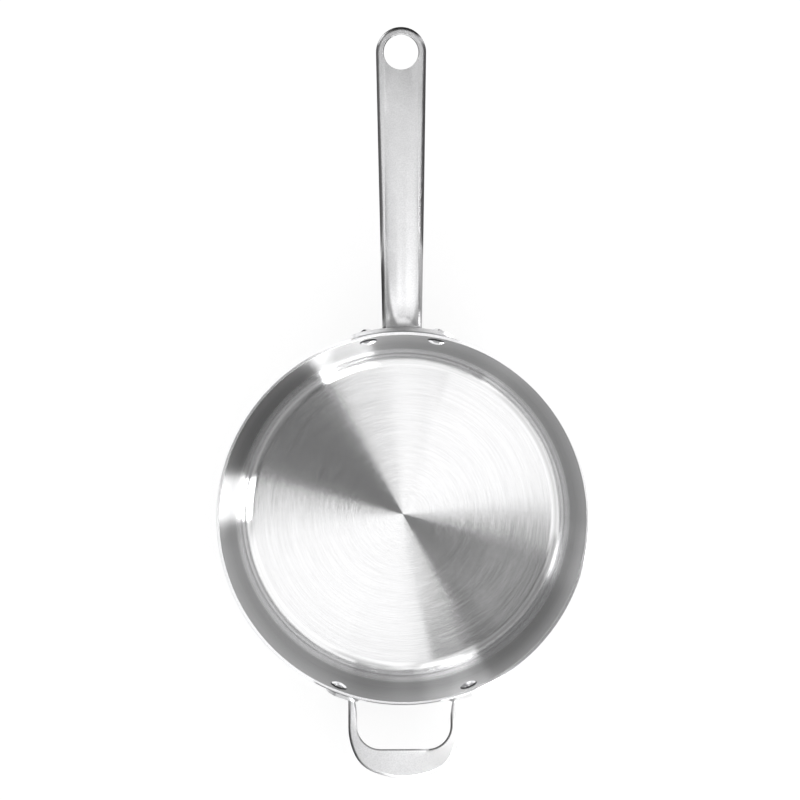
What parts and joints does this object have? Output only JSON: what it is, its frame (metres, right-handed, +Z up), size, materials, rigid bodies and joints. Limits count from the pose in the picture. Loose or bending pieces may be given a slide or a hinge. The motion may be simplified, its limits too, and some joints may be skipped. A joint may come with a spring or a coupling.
{
  "type": "saucier pan",
  "caption": "Low conical stainless clad pan with a long riveted cast handle, a hanging eye and a looped helper handle.",
  "frame": {"origin": "middle of the base's underside, on the bowl's axis", "axes": "+Y along the long handle, +Z up out of the bowl's mouth, +X to the right seen from above with the long handle away from the viewer"},
  "size_m": [0.2397, 0.4774, 0.1121],
  "materials": {
    "cooking_surface": "brushed round the bowl's axis",
    "core": "bare, seen only as a line in the rim",
    "outer_skin": "brushed round the bowl's axis",
    "cast_handles": "bead-blasted satin",
    "rivets": "polished"
  },
  "bodies": {
    "root": {"inner_steel_layer": "cooking_surface", "aluminium_core": "core", "outer_steel_layer": "outer_skin", "long_handle": "cast_handles", "helper_handle": "cast_handles", "handle_rivet_left": "rivets", "handle_rivet_right": "rivets", "helper_rivet_left": "rivets", "helper_rivet_right": "rivets"}
  },
  "joints": []
}
